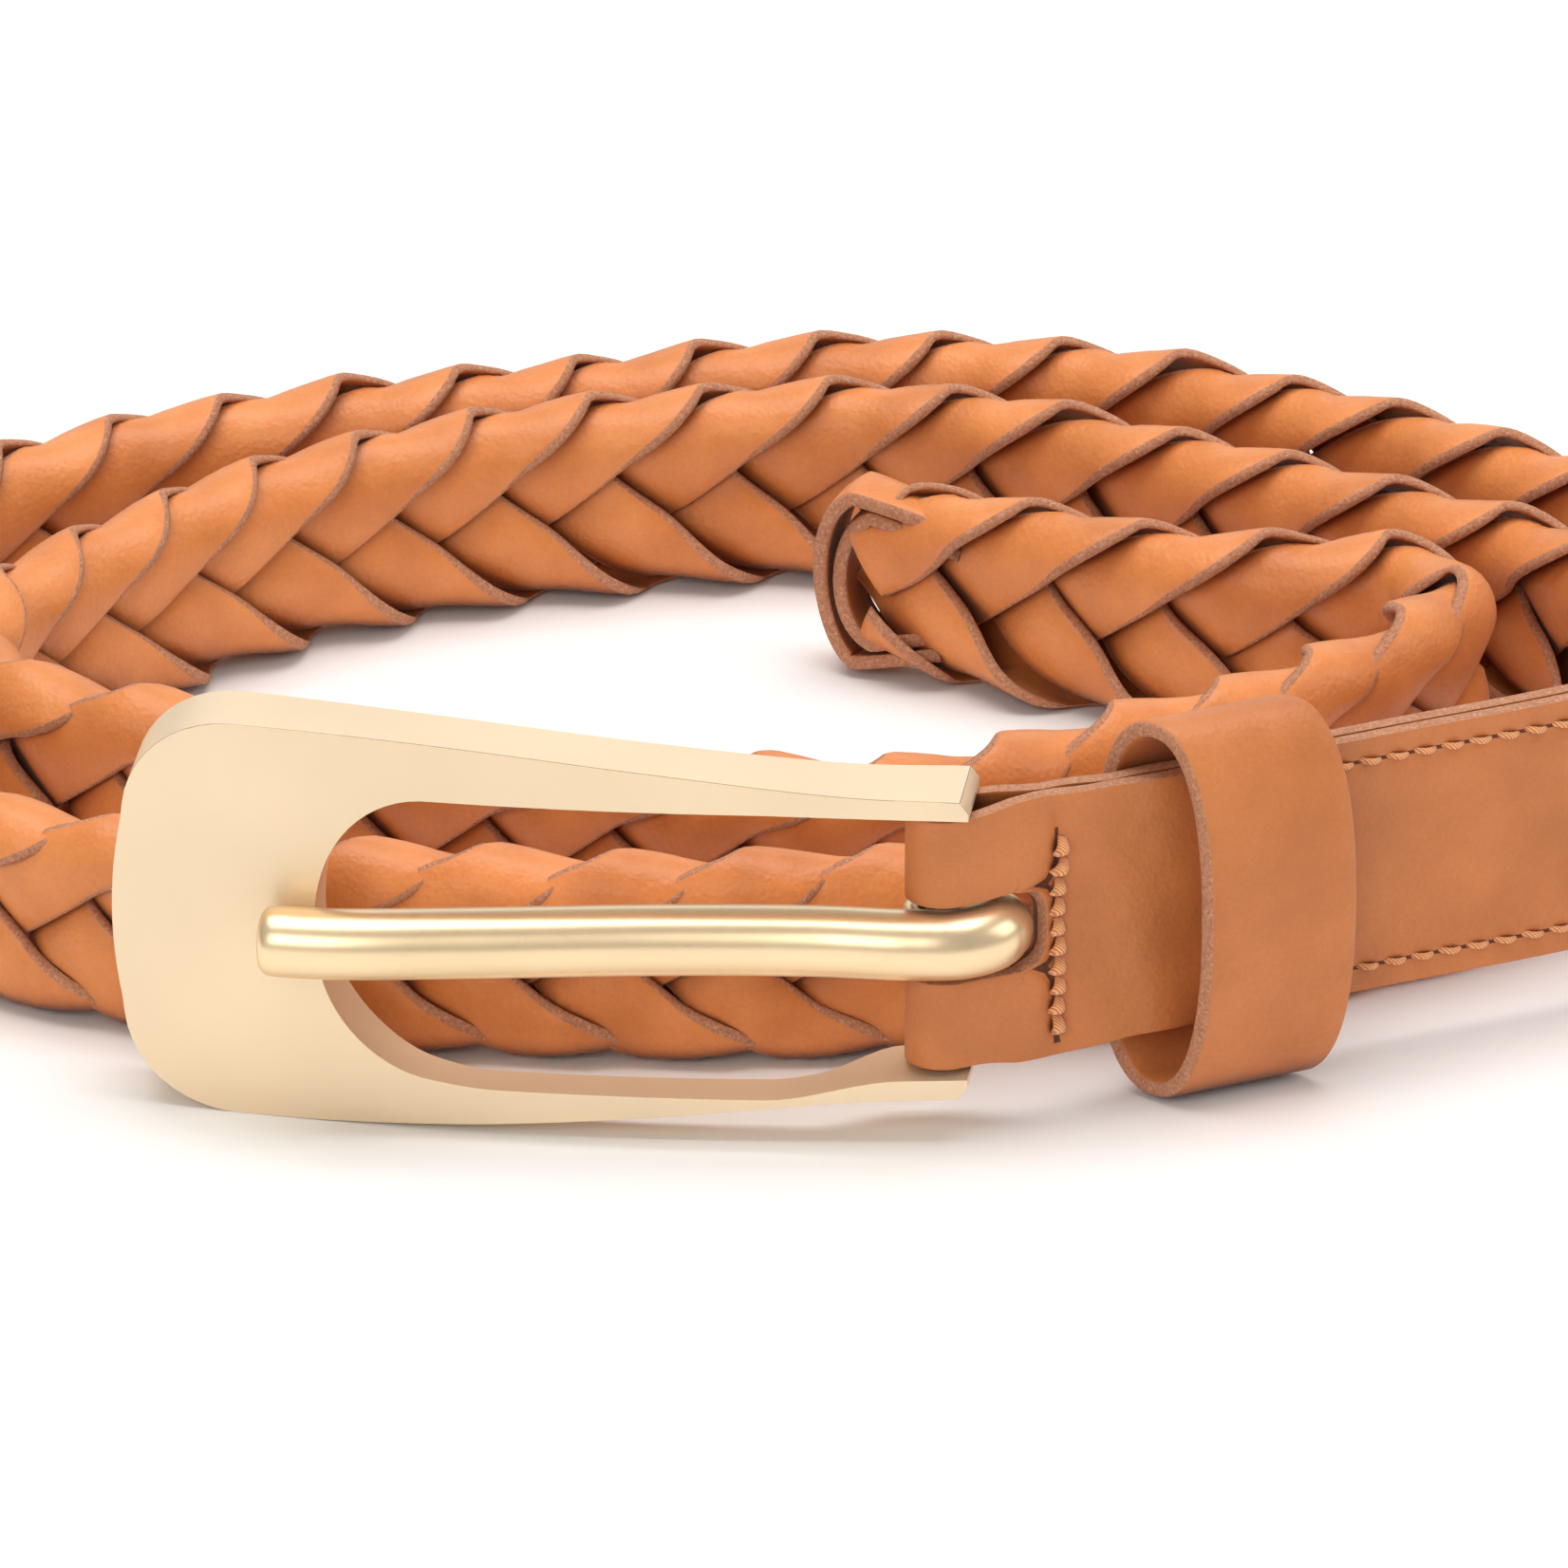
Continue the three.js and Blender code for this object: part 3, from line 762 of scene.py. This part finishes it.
def make_keeper():
    w, h, r = KEEPER_WIDTH / 2, KEEPER_THICK / 2, 0.35
    near, far = r * 0.3, r
    right = [(w - near, h - near, 1), (w, h - far, 1), (w, far - h, 1), (w - near, near - h, 1)]
    left = [(-x, -out, cut) for x, out, cut in right]
    outside = [(x, h, 0) for x in np.linspace(r - w, w - r, 12)]
    inside = [(x, -h, 0) for x in np.linspace(w - r, r - w, 12)]
    across = outside + right + inside + left
    steps, sides = 96, len(across)
    vertices = []
    for i in range(steps):
        a = 2 * math.pi * i / steps
        cos, sin = math.cos(a), math.sin(a)
        n_unit = math.copysign(abs(cos) ** 0.86, cos)
        z_unit = math.copysign(abs(sin) ** 0.86, sin)
        for x, out, _ in across:
            grow = out - KEEPER_THICK / 2
            waist = 0.25 * math.cos(math.pi * x / KEEPER_WIDTH) * (cos < 0) * abs(cos)
            n = KEEPER_N + n_unit * (KEEPER_DEPTH / 2 + grow - waist)
            z = KEEPER_Z + z_unit * (KEEPER_HEIGHT / 2 + grow)
            s = KEEPER_START + w + x - KEEPER_SHEAR * (n - KEEPER_N)
            p = BAR + STRAP_ALONG * s + STRAP_ACROSS * n
            vertices.append((p[0], p[1], z))
    faces = ring_faces(steps, sides, closed=True)
    cut = [across[j][2] and across[(j + 1) % sides][2] for j in range(sides)]
    marks = [1 if cut[j] else 0 for _ in range(steps) for j in range(sides)]
    obj = make_object("keeper_leather_loop", vertices, faces, [TAN, EDGE], marks)
    face_outwards(obj)
    return obj


keeper = make_keeper()
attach(keeper, "keeper")
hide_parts("keeper_loop")

# ------------------------------------------------------------------ buckle frame
FRAME_LEFT = -68.3
FRAME_RIGHT = 2.5
WINDOW_LEFT = -51.3
FRONT_OFFSET = -3.5
BOW = 2.6
LOWER_ARM_SLIMMING = 1.6
BUCKLE_X = np.array([math.cos(BUCKLE_YAW), math.sin(BUCKLE_YAW)])
BUCKLE_Y = np.array([-math.sin(BUCKLE_YAW), math.cos(BUCKLE_YAW)])


def to_world(x, y, z):
    p = BAR + BUCKLE_X * x + BUCKLE_Y * y
    return (p[0], p[1], BUCKLE_Z + z)


def front_y(x):
    """The plate's front face bows forward between its ends."""
    t = (FRAME_RIGHT - x) / (FRAME_RIGHT - FRAME_LEFT)
    return FRONT_OFFSET - BOW * math.sin(math.pi * min(max(t, 0), 1))


def wall_depth(x):
    return 6.2 + 1.5 * ((x + 35) / 37) ** 2


ARM_END = [(2.5, 12.3), (2.45, 12.75), (2.25, 13.1), (1.8, 13.3)]
ARM_TOP = [(1.2, 13.35), (-7, 13.7), (-23, 15.4), (-38, 16.8), (-50, 17.4), (-58, 17.5)]


def resample(points, count):
    points = np.asarray(points, float)
    gaps = np.linalg.norm(np.diff(points, axis=0), axis=1)
    length = np.concatenate([[0], np.cumsum(gaps)])
    s = np.linspace(0, length[-1], count)
    return np.stack([np.interp(s, length, points[:, 0]), np.interp(s, length, points[:, 1])], 1)


def outer_outline(count):
    """Half outline of the plate from the arm's end to the middle of the closed end."""
    upper = as_points(ARM_END) + list(centripetal(as_points(ARM_TOP), 12))
    for a in np.linspace(0, math.pi / 2, 24)[1:]:
        x = -58 - (abs(FRAME_LEFT) - 58.8) * math.sin(a)
        upper.append(np.array([x, 17.5 - 9.0 * (1 - math.cos(a))]))
    for z in np.linspace(8.5, 0, 12)[1:]:
        upper.append(np.array([FRAME_LEFT + 0.8 - 0.9 * (1 - (z / 8.5) ** 2), z]))
    return resample(upper, count)


def inner_outline(count):
    """Half outline of the window from the arm's end to the middle of its rounded end."""
    points = [np.array([x, 11.6 + 0.4 * min(1, (FRAME_RIGHT - x) / 16.5)])
              for x in np.linspace(FRAME_RIGHT, -42, 30)]
    for a in np.linspace(math.pi / 2, 0, 30)[1:]:
        points.append(np.array([-42 - (abs(WINDOW_LEFT) - 42) * math.cos(a), 12 * math.sin(a) ** 0.9]))
    return resample(points, count)


def make_frame():
    """The U of the buckle: front and back faces between the two outlines, joined by walls."""
    half, across = 64, 12
    outer = outer_outline(half)
    inner = inner_outline(half)
    outer = np.concatenate([outer, (outer * [1, -1])[::-1][1:]])
    inner = np.concatenate([inner, (inner * [1, -1])[::-1][1:]])
    count = len(outer)
    vertices, index = [], {}
    for layer in (0, 1):
        for i in range(count):
            for j in range(across + 1):
                x, z = outer[i] + (inner[i] - outer[i]) * j / across
                if z < 0:
                    slim = float(smoothstep(x, -50, -36) * smoothstep(-x, 3, 14))
                    z -= LOWER_ARM_SLIMMING * slim * j / across
                depth = wall_depth(x)
                if z < 0:
                    depth *= 1 - 0.36 * float(smoothstep(x, -50, -38) * smoothstep(-x, 4, 10))
                y = front_y(x) + layer * depth
                if layer and x < -51.5:
                    y -= 3.0 * float(smoothstep(-x, 52.5, 55.5) * smoothstep(66.8 + x, 0.8, 3.5)
                                     * smoothstep(14.6 - abs(z), 0, 2.5))
                index[layer, i, j] = len(vertices)
                vertices.append(to_world(x, y, z))
    faces = []
    for i in range(count - 1):
        for j in range(across):
            for layer in (0, 1):
                corners = [index[layer, i, j], index[layer, i, j + 1],
                           index[layer, i + 1, j + 1], index[layer, i + 1, j]]
                faces.append(tuple(corners))
        for j in (0, across):
            faces.append((index[0, i, j], index[1, i, j], index[1, i + 1, j], index[0, i + 1, j]))
    for i in (0, count - 1):
        for j in range(across):
            faces.append((index[0, i, j], index[1, i, j], index[1, i, j + 1], index[0, i, j + 1]))
    obj = make_object("buckle_plate", vertices, faces, [PLATE, PAINTED_REFLECTION_EDGE])
    face_outwards(obj)
    rounding = round_edges(obj, 0.4, 3, 50)
    rounding.harden_normals = True
    # The rounded edges first take the painted dark reflection gold.
    rounding.material = 1
    apply_modifiers(obj)
    # Only the upper, slanted bevels keep the painted dark reflection; all other faces go back to the plain
    # gold.
    for face in obj.data.polygons:
        lower_or_steep = face.center.z < (BUCKLE_Z + 2) * MM or face.normal.z < 0.25
        if lower_or_steep or face.normal.z > 0.97:
            face.material_index = 0
    return obj


plate = make_frame()
bore_for_bar(plate)
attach(plate, "buckle")
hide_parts("buckle_frame")

# ------------------------------------------------------------------ prong
PRONG_LINE = [
    (-55.4, -8.6), (-49, -8.55), (-38, -6.9), (-23, -4.4), (-10, -2.9), (-2.5, -2.7),
    (1.6, -2.0), (4, 0), (4.4, 2.4),
]
PRONG_RADIUS = 2.95


def make_prong():
    """A thick round tongue with a domed tip, bent to meet the bar."""
    line = centripetal(as_points(PRONG_LINE), 14)
    tangent = unit(np.gradient(line, axis=0))
    across = np.stack([-tangent[:, 1], tangent[:, 0]], 1)
    sides = 40
    rings = []
    for depth, scale in ((0, 0.4), (0.06, 0.62), (0.22, 0.8), (0.5, 0.91), (0.85, 0.97), (1.4, 0.99)):
        rings.append((line[0] + tangent[0] * depth, across[0], scale))
    rings += [(p, a, 1.0) for p, a in zip(line[4:-2], across[4:-2])]
    for depth, scale in ((0, 1.0), (0.5, 0.97), (1.0, 0.87), (1.4, 0.7), (1.6, 0.45)):
        rings.append((line[-2] + tangent[-1] * depth, across[-1], scale))
    vertices = []
    for p, a, scale in rings:
        for j in range(sides):
            angle = 2 * math.pi * j / sides
            q = p + a * PRONG_RADIUS * scale * math.cos(angle)
            vertices.append(to_world(q[0], q[1], PRONG_RADIUS * scale * math.sin(angle)))
    faces = ring_faces(len(rings), sides)
    faces.append(tuple(range(sides)))
    faces.append(tuple((len(rings) - 1) * sides + j for j in reversed(range(sides))))
    obj = make_object("prong_bar", vertices, faces, [BRIGHT])
    face_outwards(obj)
    return obj


prong = make_prong()
bore_for_bar(prong)
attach(prong, "prong")
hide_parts("prong")


def make_eye():
    """The prong's eye: a ring round the bar."""
    sides, section = 48, 16
    vertices = []
    for i in range(sides):
        a = 2 * math.pi * i / sides
        for j in range(section):
            b = 2 * math.pi * j / section
            r = 2.6 + 0.78 * math.copysign(abs(math.cos(b)) ** 0.5, math.cos(b))
            z = 2.7 * math.copysign(abs(math.sin(b)) ** 0.5, math.sin(b))
            vertices.append(to_world(r * math.cos(a), r * math.sin(a), z))
    obj = make_object("prong_eye", vertices, ring_faces(sides, section, closed=True), [BRIGHT])
    face_outwards(obj)
    return obj


eye = make_eye()
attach(eye, "prong")

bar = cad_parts["hinge_bar"]
bar.data.materials.clear()
bar.data.materials.append(WIRE)


# ------------------------------------------------------------------ floor and light
def make_floor():
    mat, _, _, shader = new_material("floor_white")
    shader.inputs["Base Color"].default_value = (0.93, 0.925, 0.915, 1)
    shader.inputs["Roughness"].default_value = 0.9
    shader.inputs["Specular IOR Level"].default_value = 0.1
    size = 4000.0
    corners = [(-size, -size, 0), (size, -size, 0), (size, size, 0), (-size, size, 0)]
    floor = make_object("floor", corners, [(0, 1, 2, 3)], [mat])


def area_light(name, location, target, size, power, colour=(1, 1, 1)):
    data = bpy.data.lights.new(name, "AREA")
    data.shape = "RECTANGLE"
    data.size, data.size_y = size
    data.energy = power
    data.color = colour
    light = bpy.data.objects.new(name, data)
    light.location = location
    direction = Vector(target) - Vector(location)
    light.rotation_mode = "QUATERNION"
    light.rotation_quaternion = direction.to_track_quat("-Z", "Y")
    bpy.context.scene.collection.objects.link(light)


make_floor()
world = bpy.data.worlds.new("studio")
world.use_nodes = True
world.node_tree.nodes["Background"].inputs["Color"].default_value = (1.0, 0.99, 0.975, 1)
world.node_tree.nodes["Background"].inputs["Strength"].default_value = 0.42
bpy.context.scene.world = world
area_light("top_softbox", (0.0, 0.05, 0.9), (0, 0, 0), (0.9, 0.7), 7.2)
area_light("front_softbox", (-0.35, -0.9, 0.55), (0, 0, 0.01), (0.6, 0.5), 2.7, (1.0, 0.98, 0.95))
area_light("back_softbox", (0.1, 1.5, 0.65), (0, 0, 0.01), (1.8, 0.6), 2.6)
area_light("right_softbox", (0.9, -0.1, 0.5), (0, 0, 0.01), (0.5, 0.5), 1.6, (1.0, 0.98, 0.95))
bpy.context.scene.view_settings.view_transform = "Standard"
